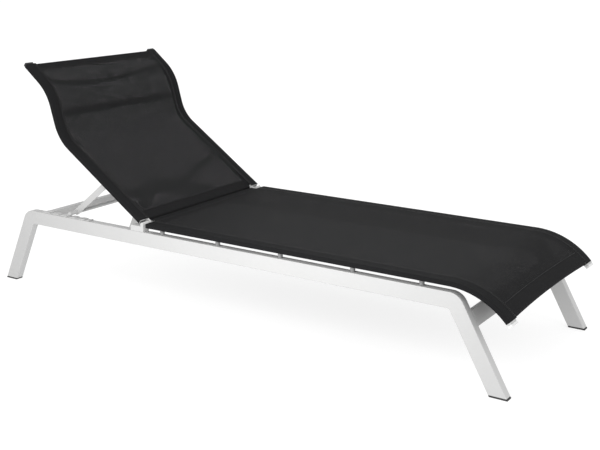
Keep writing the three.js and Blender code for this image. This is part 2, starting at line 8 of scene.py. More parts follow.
import bmesh
import bpy
from bpy.props import FloatProperty, FloatVectorProperty, PointerProperty
from mathutils import Vector
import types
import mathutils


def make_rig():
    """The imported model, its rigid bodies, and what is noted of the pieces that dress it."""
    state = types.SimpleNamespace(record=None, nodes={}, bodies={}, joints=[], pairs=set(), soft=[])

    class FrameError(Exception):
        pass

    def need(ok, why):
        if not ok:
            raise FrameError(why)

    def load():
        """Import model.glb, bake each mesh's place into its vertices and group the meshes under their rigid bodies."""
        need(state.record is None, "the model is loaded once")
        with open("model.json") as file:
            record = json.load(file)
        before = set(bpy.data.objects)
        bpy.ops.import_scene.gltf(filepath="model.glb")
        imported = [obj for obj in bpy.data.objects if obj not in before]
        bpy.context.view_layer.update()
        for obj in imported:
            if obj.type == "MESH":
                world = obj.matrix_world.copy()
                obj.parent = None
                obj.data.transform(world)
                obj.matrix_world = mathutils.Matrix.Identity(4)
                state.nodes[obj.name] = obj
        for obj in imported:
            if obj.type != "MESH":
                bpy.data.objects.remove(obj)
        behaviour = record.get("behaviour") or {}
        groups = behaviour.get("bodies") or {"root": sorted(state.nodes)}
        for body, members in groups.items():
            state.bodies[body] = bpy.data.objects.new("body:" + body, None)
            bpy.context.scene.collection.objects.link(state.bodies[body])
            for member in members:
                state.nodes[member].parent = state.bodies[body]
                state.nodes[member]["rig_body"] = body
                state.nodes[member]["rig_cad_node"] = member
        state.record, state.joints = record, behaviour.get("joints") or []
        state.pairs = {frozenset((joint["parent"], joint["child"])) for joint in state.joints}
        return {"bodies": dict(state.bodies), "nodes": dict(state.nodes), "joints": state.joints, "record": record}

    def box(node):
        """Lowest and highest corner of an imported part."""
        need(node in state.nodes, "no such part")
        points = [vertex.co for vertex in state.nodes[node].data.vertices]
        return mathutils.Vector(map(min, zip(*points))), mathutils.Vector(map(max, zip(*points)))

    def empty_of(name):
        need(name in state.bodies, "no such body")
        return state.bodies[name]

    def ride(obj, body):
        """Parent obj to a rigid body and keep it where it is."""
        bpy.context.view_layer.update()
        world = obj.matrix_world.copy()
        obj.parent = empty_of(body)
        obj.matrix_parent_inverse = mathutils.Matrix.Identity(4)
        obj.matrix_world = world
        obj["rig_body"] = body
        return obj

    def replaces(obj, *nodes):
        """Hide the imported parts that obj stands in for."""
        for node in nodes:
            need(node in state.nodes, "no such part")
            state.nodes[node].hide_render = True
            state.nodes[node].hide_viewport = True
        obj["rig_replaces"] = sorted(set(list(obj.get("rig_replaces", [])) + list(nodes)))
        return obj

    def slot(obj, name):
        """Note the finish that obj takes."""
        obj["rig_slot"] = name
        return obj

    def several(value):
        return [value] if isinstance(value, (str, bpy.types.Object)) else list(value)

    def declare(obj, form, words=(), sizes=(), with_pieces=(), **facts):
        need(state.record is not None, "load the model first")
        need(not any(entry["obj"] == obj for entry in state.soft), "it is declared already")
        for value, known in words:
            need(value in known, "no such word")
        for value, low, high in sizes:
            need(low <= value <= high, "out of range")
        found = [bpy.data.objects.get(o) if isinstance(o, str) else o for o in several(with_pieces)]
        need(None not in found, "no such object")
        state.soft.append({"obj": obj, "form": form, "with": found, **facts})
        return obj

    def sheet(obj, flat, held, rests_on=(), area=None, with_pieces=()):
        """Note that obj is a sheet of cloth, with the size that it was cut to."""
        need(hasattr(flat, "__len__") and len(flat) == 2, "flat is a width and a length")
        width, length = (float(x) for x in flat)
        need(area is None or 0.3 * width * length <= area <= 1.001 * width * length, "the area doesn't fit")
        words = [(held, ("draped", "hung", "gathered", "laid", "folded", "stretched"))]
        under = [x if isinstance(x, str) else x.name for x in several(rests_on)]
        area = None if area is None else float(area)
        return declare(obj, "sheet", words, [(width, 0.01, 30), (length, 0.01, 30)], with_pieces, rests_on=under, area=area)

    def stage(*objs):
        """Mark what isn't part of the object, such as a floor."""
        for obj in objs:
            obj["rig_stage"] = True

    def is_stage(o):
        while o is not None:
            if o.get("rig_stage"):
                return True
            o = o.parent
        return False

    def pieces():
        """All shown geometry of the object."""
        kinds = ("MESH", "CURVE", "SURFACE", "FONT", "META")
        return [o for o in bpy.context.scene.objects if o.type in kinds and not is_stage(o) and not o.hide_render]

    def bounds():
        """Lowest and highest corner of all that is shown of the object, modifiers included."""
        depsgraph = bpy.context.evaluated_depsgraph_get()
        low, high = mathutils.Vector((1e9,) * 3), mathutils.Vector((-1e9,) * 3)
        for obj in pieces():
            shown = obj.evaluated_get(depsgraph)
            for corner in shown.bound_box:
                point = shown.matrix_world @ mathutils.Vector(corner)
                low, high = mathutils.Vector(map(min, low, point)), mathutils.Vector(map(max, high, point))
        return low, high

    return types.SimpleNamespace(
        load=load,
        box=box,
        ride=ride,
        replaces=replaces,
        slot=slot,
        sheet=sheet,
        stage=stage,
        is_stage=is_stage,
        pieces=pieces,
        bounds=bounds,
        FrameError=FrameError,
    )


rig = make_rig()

bl_info = {
    "name": "Reclining Sun Lounger",
    "version": (1, 0, 0),
    "blender": (4, 5, 0),
    "location": "3D View > Sidebar > Lounger",
    "description": "Builds a reclining sun lounger with woven slings round its packed frame",
    "category": "Object",
}

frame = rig.load()
CAD_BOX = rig.bounds()
SIZE_FILE = "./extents.json"

SIDES = ("right", "left")
HALF_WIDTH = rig.box("left_rail")[1].y
BACK_HALF_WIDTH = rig.box("left_back_tube")[1].y
RAIL_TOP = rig.box("left_rail")[1].z
RAIL_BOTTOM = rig.box("left_rail")[0].z
TUBE_HEIGHT = RAIL_TOP - RAIL_BOTTOM
JOINTS = {joint["name"]: joint for joint in frame["joints"]}
HINGE = Vector(JOINTS["backrest_recline"]["pos_m"])
SPACERS = 5

# Frame details
INNER_BEND = 0.012      # inside radius of the corners over the legs
INNER_STEPS = 6
OUTER_STEPS = 10
WELD_PLACE = 0.021      # weld beside the head corner, from the corner along the rail
WELD_WIDTH = 0.003
WELD_PROUD = 0.0004

# Camera and floor
CAMERA_PLACE = (2.0115, -2.8834, 1.2313)
CAMERA_SHIFT = (-0.0042, -0.0023)
FLOOR_REACH = 30.0      # from the middle of the floor to its edges
FLOOR_DROP = 0.0005     # the floor lies this far under the glides

# Area lights: name, place, what it points at, width in metres, power in watts
LIGHTS = (
    ("key", (0.25, -1.5, 0.9), (0.2, 0, 0.27), 1.0, 20),
    ("side", (3.6, -0.8, 1.3), (0.9, 0, 0.2), 1.4, 22),
)

# Rounding of the edges of each kind of piece
EDGE = {
    "glide": 0.0012, "spacer": 0.001, "rack": 0.0004, "cross_rail": 0.0009, "block": 0.0014,
    "plate": 0.0008, "stretcher": 0.003, "cap": 0.0015,
}
SHARP_ANGLE = math.radians(32)      # edges turning more than this are rounded
FLAT_ANGLE = math.radians(0.5)      # faces turning less than this become one
SAME_POINT = 1e-6

# Paths of the sling tubes
SEAT_STRAIGHT = 1.14
SEAT_BEND_RADIUS = 0.258
SEAT_BEND_TURN = math.radians(48.5)
BACK_ANGLE = math.radians(34.7)
BACK_START = 0.0095     # along the backrest from the hinge axis
BACK_RISE = 0.004       # above the hinge axis
BACK_STRAIGHT = 0.407   # from the hinge axis to the neck
NECK_BEND = (0.147, math.radians(40))
NECK_STRAIGHT = 0.064
CROWN_BEND = (0.17, math.radians(36))
HEAD_STRAIGHT = 0.08

# Cross tubes inside the slings
FOOT_BAR_RADIUS = 0.007
FOOT_BAR_INSET = 0.014  # from the end of the seat tubes
FOOT_BOW = 0.007        # its middle towards the head
HEAD_BAR_RADIUS = 0.009
HEAD_BAR_DROP = 0.002   # its ends behind the side tubes
HEAD_BAR_BOW = 0.044    # its middle further behind
BOW_STEPS = 32          # across a bowed tube

# Cloth round the tubes
CLOTH_GAP = 0.0004      # between the cloth and what it wraps
HEM_CORNER = 0.0018     # radius of the cloth round the edges of a side tube
SEAM_STEP = 0.0006      # width of the change from panel to hem
PLY_DROP = 0.0014       # the hidden ply lies this far under the panel
TUCK = (0.004, 0.002, 0.001)  # how the hidden ply turns in: down, across and past the seam
POCKET_SHARES = (0.35, 0.7, 1.0)    # rows under an end pocket, as shares of its depth
RETURN_LEVEL = -0.2     # height of the cloth on its way back up, as a share of its lift
RETURN_STEPS = (0.006, 0.009, 0.014)  # rows past the pocket: on the way up, then twice as a ply
FOLDS = 0.07            # length of cloth turned in at the two ends

# How the middle of a sling hangs and how open its weave is
LOWER_DROP = 0.005      # lower end of the back cloth, down to its cross tube
SEAT_SHADE_FILL = 0.6       # painted shade: how far the openings of the seat's weave are filled, standing in for the shadow on the floor under the seat
WEAVE_OPENING = 0.18    # height in the weave's waves under which it is open
PAINTED_GROOVE_SHADE = 0.4        # painted shade: brightness of the dips between threads, share of the yarn's
CLOTH_SHINE = 0.06
SAG_REACH = 0.12        # from an end pocket to where the cloth dips in full
DROP_REACH = 0.09       # from the lower end to where the drop has gone
BOW_REACH = 0.2         # from the foot end to where the bow has gone

# Rows of cloth along a sling
ROW_STEP = 0.02
BEND_STEP = 0.008
TONGUE_STEP = 0.012     # ahead of the side hems
ROW_GAP = 0.003         # rows closer than this to an end pocket are left out
PANEL_COLUMNS = 12      # across half of the panel
HEM_STEPS = 5           # across a hem, and round each edge of a side tube
POCKET_STEPS = 10       # round the tube in an end pocket
SEAT_END = 0.005        # side hems stop this short of the end of the seat tubes
SEAT_POCKETS = (0.022, 0.030)
BACK_HEM_START = 0.001
BACK_TONGUE = (0.0085, 0.008)   # centres of the end pockets, from the ends of the path
BACK_POCKETS = (0.022, 0.016)

# Stitching
STITCH_PITCH = 0.0055
STITCH_LENGTH = 0.0042
STITCH_RADIUS = 0.0006
STITCH_PROUD = 0.0001
TIP_SINK = 0.4          # tips of a stitch under its middle, as a share of its radius
CROWN = 0.28            # full-width part of a stitch each way from its middle, share of its length
HEM_ROWS = (0.003, 0.008)   # rows of stitches, from the side seam
POCKET_ROW = 0.011          # row of stitches, past the edge of an end pocket


class FrameSizes(bpy.types.PropertyGroup):
    """Sizes of the welded frame."""

    head_lean: FloatProperty(
        name="Head leg lean", description="Lean of the head legs out of vertical",
        default=math.radians(25.6), subtype="ANGLE")
    foot_lean: FloatProperty(
        name="Foot leg lean", description="Lean of the foot legs out of vertical",
        default=math.radians(29.3), subtype="ANGLE")
    foot_bend: FloatProperty(
        name="Foot bend", description="Outer radius of the bend into the foot legs",
        default=0.05, unit="LENGTH")
    head_bend: FloatProperty(
        name="Head bend", description="Outer radius of the corner over the head legs",
        default=0.05, unit="LENGTH")
    tube_edge: FloatProperty(
        name="Tube edge", description="Rounding along the edges of the frame tube",
        default=0.0022, unit="LENGTH")
    coat: FloatVectorProperty(
        name="Coat", description="Colour of the powder coat",
        default=(0.455, 0.455, 0.453), subtype="COLOR", size=3)


class SlingSizes(bpy.types.PropertyGroup):
    """Sizes of the two slings and the tubes that hold them."""

    tube_width: FloatProperty(
        name="Tube width", description="Width of the flat side tubes",
        default=0.04, unit="LENGTH")
    tube_height: FloatProperty(
        name="Tube height", description="Height of the flat side tubes",
        default=0.014, unit="LENGTH")
    cloth: FloatProperty(
        name="Cloth", description="Thickness of the woven cloth",
        default=0.001, unit="LENGTH")
    seam: FloatProperty(
        name="Seam", description="Distance of the side seam from the side of the sling",
        default=0.047, unit="LENGTH")
    pocket: FloatProperty(
        name="Pocket", description="Corner cut away on each side of an end pocket",
        default=0.05, unit="LENGTH")
    sag: FloatProperty(
        name="Sag", description="Dip of the cloth half way across",
        default=0.004, unit="LENGTH")
    thread: FloatProperty(
        name="Thread", description="Distance between threads of the weave",
        default=0.0021, unit="LENGTH")
    colour: FloatVectorProperty(
        name="Colour", description="Colour of the yarn",
        default=(0.0122, 0.0123, 0.0130), subtype="COLOR", size=3)


class StageSizes(bpy.types.PropertyGroup):
    """The floor, the lights and the camera."""

    azimuth: FloatProperty(
        name="Azimuth", description="Direction of the camera round the lounger",
        default=math.radians(33.348), subtype="ANGLE")
    elevation: FloatProperty(
        name="Elevation", description="Height of the camera above the horizon",
        default=math.radians(14.976), subtype="ANGLE")
    lens: FloatProperty(
        name="Lens", description="Focal length on a 36 mm wide sensor", default=61.07, unit="CAMERA")
    sky: FloatProperty(
        name="Sky", description="Strength of the even studio light", default=1.0, min=0.0)
    floor_glow: FloatProperty(
        name="Floor glow", description="Strength of the light the floor gives off",
        default=0.76, min=0.0)


# Paths in a side view -----------------------------------------------------------------------


class Path:
    """A side-view line of straights and bends, read by the distance along it."""

    def __init__(self, origin, along, up, start, segments):
        self.origin, self.along, self.up = origin, along, up
        self.marks = []
        x, z = start
        heading, travelled = 0.0, 0.0
        self.marks.append((travelled, x, z, heading))
        for kind, size, turn in segments:
            steps = 1 if kind == "straight" else max(2, math.ceil(abs(turn) / math.radians(2)))
            bend = 0.0 if kind == "straight" else turn / steps
            step = size if kind == "straight" else size * abs(bend)
            for _ in range(steps):
                heading += bend / 2
                x += step * math.cos(heading)
                z += step * math.sin(heading)
                heading += bend / 2
                travelled += step
                self.marks.append((travelled, x, z, heading))
        self.length = travelled

    def locate(self, distance):
        """Position and heading in the path's own plane; past the ends it goes straight on."""
        marks = self.marks
        if distance <= 0:
            _, x, z, heading = marks[0]
            return x + distance * math.cos(heading), z + distance * math.sin(heading), heading
        for (d0, x0, z0, h0), (d1, x1, z1, h1) in zip(marks, marks[1:]):
            if distance <= d1:
                t = (distance - d0) / (d1 - d0)
                return x0 + t * (x1 - x0), z0 + t * (z1 - z0), h0 + t * (h1 - h0)
        _, x, z, heading = marks[-1]
        over = distance - self.length
        return x + over * math.cos(heading), z + over * math.sin(heading), heading

    def point(self, distance, rise=0.0, y=0.0):
        """A point in the row frame, rise above the line and y across."""
        x, z, heading = self.locate(distance)
        x -= rise * math.sin(heading)
        z += rise * math.cos(heading)
        spot = self.origin + x * self.along + z * self.up
        return Vector((spot.x, y, spot.z))

    def stops(self, start, end, coarse, fine):
        """Distances to put rows of cloth at, closer together on the bends."""
        found, distance = [start], start
        while distance < end:
            turn = abs(self.locate(distance + coarse)[2] - self.locate(distance)[2])
            distance += fine if turn > 0.01 else coarse
            found.append(min(distance, end))
        if len(found) > 2 and found[-1] - found[-2] < fine / 3:
            found.pop(-2)
        return found


def seat_path():
    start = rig.box("left_seat_tube")[0].x
    return Path(
        Vector((0, 0, 0)), Vector((1, 0, 0)), Vector((0, 0, 1)), (start, HINGE.z),
        [("straight", SEAT_STRAIGHT, 0.0), ("bend", SEAT_BEND_RADIUS, -SEAT_BEND_TURN)],
    )


def back_path():
    along = Vector((-math.cos(BACK_ANGLE), 0, math.sin(BACK_ANGLE)))
    up = Vector((math.sin(BACK_ANGLE), 0, math.cos(BACK_ANGLE)))
    neck_radius, neck_turn = NECK_BEND
    crown_radius, crown_turn = CROWN_BEND
    return Path(
        HINGE, along, up, (BACK_START, BACK_RISE),
        [
            ("straight", BACK_STRAIGHT - BACK_START, 0.0),
            ("bend", neck_radius, neck_turn),
            ("straight", NECK_STRAIGHT, 0.0),
            ("bend", crown_radius, -crown_turn),
            ("straight", HEAD_STRAIGHT, 0.0),
        ],
    )


# Materials ----------------------------------------------------------------------------------


def group_of(name, inputs, outputs):
    group = bpy.data.node_groups.new(name, "ShaderNodeTree")
    for label, kind, default in inputs:
        socket = group.interface.new_socket(name=label, in_out="INPUT", socket_type=kind)
        if default is not None:
            socket.default_value = default
    for label, kind in outputs:
        group.interface.new_socket(name=label, in_out="OUTPUT", socket_type=kind)
    return group, group.nodes.new("NodeGroupInput"), group.nodes.new("NodeGroupOutput")


def math_node(tree, operation, first, second=None):
    node = tree.nodes.new("ShaderNodeMath")
    node.operation = operation
    for index, value in enumerate((first, second)):
        if value is None:
            continue
        if isinstance(value, bpy.types.NodeSocket):
            tree.links.new(value, node.inputs[index])
        else:
            node.inputs[index].default_value = value
    return node.outputs[0]


def noise(tree, vector, scale, detail=2.0, roughness=0.5):
    node = tree.nodes.new("ShaderNodeTexNoise")
    node.inputs["Detail"].default_value = detail
    node.inputs["Roughness"].default_value = roughness
    if isinstance(scale, bpy.types.NodeSocket):
        tree.links.new(scale, node.inputs["Scale"])
    else:
        node.inputs["Scale"].default_value = scale
    tree.links.new(vector, node.inputs["Vector"])
    return node.outputs["Fac"]


def spread_of(tree, value, low, high):
    node = tree.nodes.new("ShaderNodeMapRange")
    tree.links.new(value, node.inputs["Value"])
    for socket, limit in (("To Min", low), ("To Max", high)):
        if isinstance(limit, bpy.types.NodeSocket):
            tree.links.new(limit, node.inputs[socket])
        else:
            node.inputs[socket].default_value = limit
    return node.outputs["Result"]


def mix_colour(tree, factor, first, second):
    node = tree.nodes.new("ShaderNodeMix")
    node.data_type = "RGBA"
    tree.links.new(factor, node.inputs[0])
    for index, value in ((6, first), (7, second)):
        if isinstance(value, bpy.types.NodeSocket):
            tree.links.new(value, node.inputs[index])
        else:
            node.inputs[index].default_value = (*value, 1)
    return node.outputs[2]


def surface_group():
    """Fine grain, broad unevenness and settled dust, shared by the hard finishes."""
    name = "Surface grain"
    if name in bpy.data.node_groups:
        return bpy.data.node_groups[name]
    colour, value = "NodeSocketColor", "NodeSocketFloat"
    group, inward, outward = group_of(
        name,
        [("Vector", "NodeSocketVector", None), ("Clean", colour, None), ("Worn", colour, None),
         ("Grain", value, 900.0), ("Smooth", value, 0.4), ("Rough", value, 0.5)],
        [("Color", colour), ("Roughness", value), ("Height", value)],
    )
    place = inward.outputs["Vector"]
    broad = noise(group, place, 5.0, 4.0, 0.6)
    scuffs = math_node(group, "POWER", noise(group, place, 60.0, 5.0, 0.7), 5.0)
    dirt = math_node(group, "ADD", math_node(group, "MULTIPLY", broad, 0.5), scuffs)
    group.links.new(
        mix_colour(group, dirt, inward.outputs["Clean"], inward.outputs["Worn"]),
        outward.inputs["Color"])
    group.links.new(
        spread_of(group, broad, inward.outputs["Smooth"], inward.outputs["Rough"]),
        outward.inputs["Roughness"])
    group.links.new(noise(group, place, inward.outputs["Grain"], 1.0), outward.inputs["Height"])
    return group


def weave_group():
    """Over-and-under weave of the cloth, with its open corners between threads and painted shade in the dips between
    threads.
    """
    name = "Woven mesh"
    if name in bpy.data.node_groups:
        return bpy.data.node_groups[name]
    colour, value = "NodeSocketColor", "NodeSocketFloat"
    group, inward, outward = group_of(
        name,
        [("Vector", "NodeSocketVector", None), ("Hem", value, 0.0), ("Pitch", value, 0.002),
         ("Opening", value, 0.3), ("Yarn", colour, None), ("Shade", colour, None)],
        [("Color", colour), ("Height", value), ("Cover", value), ("Roughness", value)],
    )
    split = group.nodes.new("ShaderNodeSeparateXYZ")
    group.links.new(inward.outputs["Vector"], split.inputs[0])
    waves = []
    for axis in (0, 1):
        turns = math_node(group, "DIVIDE", split.outputs[axis], inward.outputs["Pitch"])
        waves.append(math_node(group, "SINE", math_node(group, "MULTIPLY", turns, math.pi)))
    warp, weft = (math_node(group, "ABSOLUTE", wave) for wave in waves)
    over = math_node(group, "GREATER_THAN", math_node(group, "MULTIPLY", *waves), 0.0)
    under = math_node(group, "SUBTRACT", 1.0, over)
    relief = math_node(
        group, "ADD",
        math_node(group, "MULTIPLY", warp, over), math_node(group, "MULTIPLY", weft, under))
    group.links.new(relief, outward.inputs["Height"])
    opening = inward.outputs["Opening"]
    hole = math_node(
        group, "MULTIPLY",
        math_node(group, "LESS_THAN", warp, opening), math_node(group, "LESS_THAN", weft, opening))
    # This input shuts the openings in hems and end pockets, and in the seat panel fills them part way as painted
    # shade.
    panel = math_node(group, "SUBTRACT", 1.0, inward.outputs["Hem"])
    clear = math_node(group, "MULTIPLY", hole, panel)
    group.links.new(math_node(group, "SUBTRACT", 1.0, clear), outward.inputs["Cover"])
    # Colour: painted shade in the dips between threads, the yarn's own colour on the threads' crowns, and random
    # unevenness on top.
    uneven = noise(group, inward.outputs["Vector"], 14.0, 5.0, 0.7)
    depth = math_node(group, "MULTIPLY", relief, 0.75)
    groove_shade_and_unevenness = math_node(group, "ADD", depth, math_node(group, "MULTIPLY", uneven, 0.35))
    group.links.new(
        mix_colour(group, groove_shade_and_unevenness, inward.outputs["Shade"], inward.outputs["Yarn"]),
        outward.inputs["Color"])
    group.links.new(spread_of(group, uneven, 0.62, 0.8), outward.inputs["Roughness"])
    return group


def new_material(name):
    material = bpy.data.materials.new(name)
    material.use_nodes = True
    tree = material.node_tree
    return material, tree, tree.nodes["Principled BSDF"]


def raise_surface(tree, shader, height, strength, distance):
    bump = tree.nodes.new("ShaderNodeBump")
    bump.inputs["Strength"].default_value = strength
    bump.inputs["Distance"].default_value = distance
    tree.links.new(height, bump.inputs["Height"])
    tree.links.new(bump.outputs["Normal"], shader.inputs["Normal"])


def hard_material(name, clean, worn, smooth, rough, grain, relief, metallic=0.0):
    """A hard finish: powder coat, moulded plastic or plated steel."""
    if name in bpy.data.materials:
        return bpy.data.materials[name]
    material, tree, shader = new_material(name)
    place = tree.nodes.new("ShaderNodeTexCoord")
    surface = tree.nodes.new("ShaderNodeGroup")
    surface.node_tree = surface_group()
    tree.links.new(place.outputs["Object"], surface.inputs["Vector"])
    surface.inputs["Clean"].default_value = (*clean, 1)
    surface.inputs["Worn"].default_value = (*worn, 1)
    surface.inputs["Grain"].default_value = grain
    surface.inputs["Smooth"].default_value = smooth
    surface.inputs["Rough"].default_value = rough
    tree.links.new(surface.outputs["Color"], shader.inputs["Base Color"])
    tree.links.new(surface.outputs["Roughness"], shader.inputs["Roughness"])
    shader.inputs["Metallic"].default_value = metallic
    raise_surface(tree, shader, surface.outputs["Height"], 0.25, relief)
    return material


def powder_coat():
    clean = tuple(bpy.context.scene.lounger_frame.coat)
    worn = tuple(0.86 * channel for channel in clean)
    return hard_material("powder_coat", clean, worn, 0.34, 0.5, 1400.0, 0.0002)


def black_plastic():
    return hard_material("black_plastic", (0.012,) * 3, (0.03,) * 3, 0.4, 0.6, 700.0, 0.0003)


def spacer_plastic():
    return hard_material("spacer_plastic", (0.16,) * 3, (0.22,) * 3, 0.4, 0.6, 700.0, 0.0003)


def grey_plastic():
    return hard_material("grey_plastic", (0.56, 0.56, 0.55), (0.46,) * 3, 0.4, 0.55, 700.0, 0.0003)


def plated_steel():
    return hard_material("plated_steel", (0.55,) * 3, (0.4,) * 3, 0.25, 0.4, 900.0, 0.0001, 1.0)


def thread_material():
    return hard_material("stitching", (0.02,) * 3, (0.035,) * 3, 0.5, 0.65, 2500.0, 0.0002)


def woven_material():
    name = "woven_mesh"
    if name in bpy.data.materials:
        return bpy.data.materials[name]
    sizes = bpy.context.scene.lounger_sling
    material, tree, shader = new_material(name)
    place = tree.nodes.new("ShaderNodeAttribute")
    # The hem attribute is 1 in hems and end pockets; in the seat panel it carries painted shade that fills the weave's
    # openings part way.
    place.attribute_name = "cloth"
    hem = tree.nodes.new("ShaderNodeAttribute")
    hem.attribute_name = "hem"
    weave = tree.nodes.new("ShaderNodeGroup")
    weave.node_tree = weave_group()
    tree.links.new(place.outputs["Vector"], weave.inputs["Vector"])
    tree.links.new(hem.outputs["Fac"], weave.inputs["Hem"])
    weave.inputs["Pitch"].default_value = sizes.thread
    weave.inputs["Opening"].default_value = WEAVE_OPENING
    weave.inputs["Yarn"].default_value = (*sizes.colour, 1)
    weave.inputs["Shade"].default_value = (*(PAINTED_GROOVE_SHADE * c for c in sizes.colour), 1)
    tree.links.new(weave.outputs["Color"], shader.inputs["Base Color"])
    tree.links.new(weave.outputs["Roughness"], shader.inputs["Roughness"])
    tree.links.new(weave.outputs["Cover"], shader.inputs["Alpha"])
    shader.inputs["Specular IOR Level"].default_value = CLOTH_SHINE
    raise_surface(tree, shader, weave.outputs["Height"], 0.5, 0.0004)
    return material


# Making meshes ------------------------------------------------------------------------------


def link_piece(name, mesh, material, body, nodes=(), slot=None):
    """Puts a mesh in the scene as a piece that rides on a body and stands for CAD nodes."""
    mesh.materials.clear()
    mesh.materials.append(material)
    mesh.polygons.foreach_set("use_smooth", [True] * len(mesh.polygons))
    piece = bpy.data.objects.new(name, mesh)
    bpy.context.scene.collection.objects.link(piece)
    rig.ride(piece, body)
    if nodes:
        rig.replaces(piece, *nodes)
    if slot:
        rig.slot(piece, slot)
    return piece


def soften_edges(piece, width):
    """Rounds the hard edges and keeps the flats flat."""
    bevel = piece.modifiers.new("Edges", "BEVEL")
    bevel.width = width
    bevel.segments = 3
    bevel.limit_method = "ANGLE"
    bevel.angle_limit = SHARP_ANGLE
    normals = piece.modifiers.new("Flats", "WEIGHTED_NORMAL")
    normals.keep_sharp = True


def from_node(node, name, material, body, edge, slot):
    """Adds a finished piece made from the CAD node's solid, with rounded edges."""
    source = frame_object(node)
    mesh = bpy.data.meshes.new(name)
    work = bmesh.new()
    work.from_mesh(source.data)
    bmesh.ops.remove_doubles(work, verts=work.verts, dist=SAME_POINT)
    bmesh.ops.dissolve_limit(
        work, angle_limit=FLAT_ANGLE, verts=work.verts, edges=work.edges)
    work.to_mesh(mesh)
    work.free()
    soften_edges(link_piece(name, mesh, material, body, (node,), slot), edge)


def frame_object(node):
    for candidate in bpy.data.objects:
        if candidate.get("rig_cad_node") == node:
            return candidate
    raise RuntimeError(f"no CAD object for node {node}")


def finished_mesh(name, work):
    """Turns the working mesh into a mesh with its faces outward, and frees it."""
    bmesh.ops.recalc_face_normals(work, faces=work.faces)
    mesh = bpy.data.meshes.new(name)
    work.to_mesh(mesh)
    work.free()
    return mesh


def prism(name, outline, low, high):
    """A side-view outline made solid between two y values."""
    work = bmesh.new()
    near = [work.verts.new((x, low, z)) for x, z in outline]
    far = [work.verts.new((x, high, z)) for x, z in outline]
    work.faces.new(near)
    work.faces.new(reversed(far))
    count = len(outline)
    for i in range(count):
        j = (i + 1) % count
        work.faces.new((near[j], near[i], far[i], far[j]))
    return finished_mesh(name, work)


def tube_mesh(name, points, radius, sides=40, lip=0.0006):
    """A round bar along points that run mainly across the frame, with eased ends."""
    work = bmesh.new()
    stations = []
    count = len(points)
    for i, point in enumerate(points):
        ahead = points[min(i + 1, count - 1)] - points[max(i - 1, 0)]
        stations.append((point, ahead.normalized(), radius))
    first, last = stations[0], stations[-1]
    stations[0] = (first[0] + lip * first[1], first[1], radius)
    stations[-1] = (last[0] - lip * last[1], last[1], radius)
    stations.insert(0, (first[0], first[1], radius - lip))
    stations.append((last[0], last[1], radius - lip))
    rings = []
    for point, direction, size in stations:
        side = Vector((0, 0, 1)).cross(direction).normalized()
        top = direction.cross(side)
        ring = []
        for k in range(sides):
            angle = 2 * math.pi * k / sides
            ring.append(work.verts.new(point + size * (math.cos(angle) * side + math.sin(angle) * top)))
        rings.append(ring)
    for a, b in zip(rings, rings[1:]):
        for k in range(sides):
            n = (k + 1) % sides
            work.faces.new((a[k], a[n], b[n], b[k]))
    work.faces.new(reversed(rings[0]))
    work.faces.new(rings[-1])
    return finished_mesh(name, work)


def cross_tube(node, name, body):
    """Adds a straight round tube across the frame, where the CAD node lies."""
    low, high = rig.box(node)
    centre = (low + high) / 2
    ends = [Vector((centre.x, y, centre.z)) for y in (low.y, high.y)]
    mesh = tube_mesh(name, ends, (high.x - low.x) / 2)
    piece = link_piece(name, mesh, powder_coat(), body, (node,), "frame")
    normals = piece.modifiers.new("Flats", "WEIGHTED_NORMAL")
    normals.keep_sharp = True


def arc(centre, radius, start, end, steps):
    """Points (x, z) on an arc from one angle to another, both ends included."""
    found = []
    for i in range(steps + 1):
        angle = start + (end - start) * i / steps
        found.append((centre[0] + radius * math.cos(angle), centre[1] + radius * math.sin(angle)))
    return found


# Frame --------------------------------------------------------------------------------------


def leg_outline(end, corner, lean, bend):
    """Outline of one leg and its corner, from the inner corner to the top of the rail."""
    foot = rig.box("left_head_leg")[0].z
    drop = RAIL_BOTTOM - foot

    def edge(depth):
        return corner + end * (depth / math.cos(lean) + drop * math.tan(lean)), foot

    turn = math.pi / 2 - lean
    inner = arc((0.0, 0.0), INNER_BEND, math.pi / 2, lean, INNER_STEPS)
    outer = arc((0.0, 0.0), bend, lean, math.pi / 2, OUTER_STEPS)
    inner_x = corner - end * INNER_BEND * math.tan(turn / 2)
    outer_x = corner + end * (TUBE_HEIGHT - bend) * math.tan(turn / 2)
    points = [(inner_x + end * x, RAIL_BOTTOM - INNER_BEND + z) for x, z in inner]
    points += [edge(0.0), edge(TUBE_HEIGHT)]
    return points + [(outer_x + end * x, RAIL_TOP - bend + z) for x, z in outer]


def side_frame(side, sizes):
    """One side of the frame: rail and two legs bent from one tube."""
    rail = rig.box(f"{side}_rail")
    head = leg_outline(-1, rail[0].x, sizes.head_lean, sizes.head_bend)
    foot = leg_outline(1, rail[1].x, sizes.foot_lean, sizes.foot_bend)
    outline = head + list(reversed(foot))
    name = f"{side}_side_frame"
    mesh = prism(name, outline, rail[0].y, rail[1].y)
    nodes = [f"{side}_rail", f"{side}_head_leg", f"{side}_foot_leg"]
    piece = link_piece(name, mesh, powder_coat(), "frame", nodes, "frame")
    soften_edges(piece, sizes.tube_edge)
    weld_bead(f"{side}_head_weld", rail[0].x + WELD_PLACE, rail)


def weld_bead(name, place, rail):
    """A dressed-down weld round the tube, standing a hair proud of its faces."""
    low, high = RAIL_BOTTOM - WELD_PROUD, RAIL_TOP + WELD_PROUD
    near, far = place - WELD_WIDTH / 2, place + WELD_WIDTH / 2
    outline = [(near, low), (far, low), (far, high), (near, high)]
    mesh = prism(name, outline, rail[0].y - WELD_PROUD, rail[1].y + WELD_PROUD)
    bead = link_piece(name, mesh, powder_coat(), "frame", (), "frame")
    soften_edges(bead, WELD_PROUD)


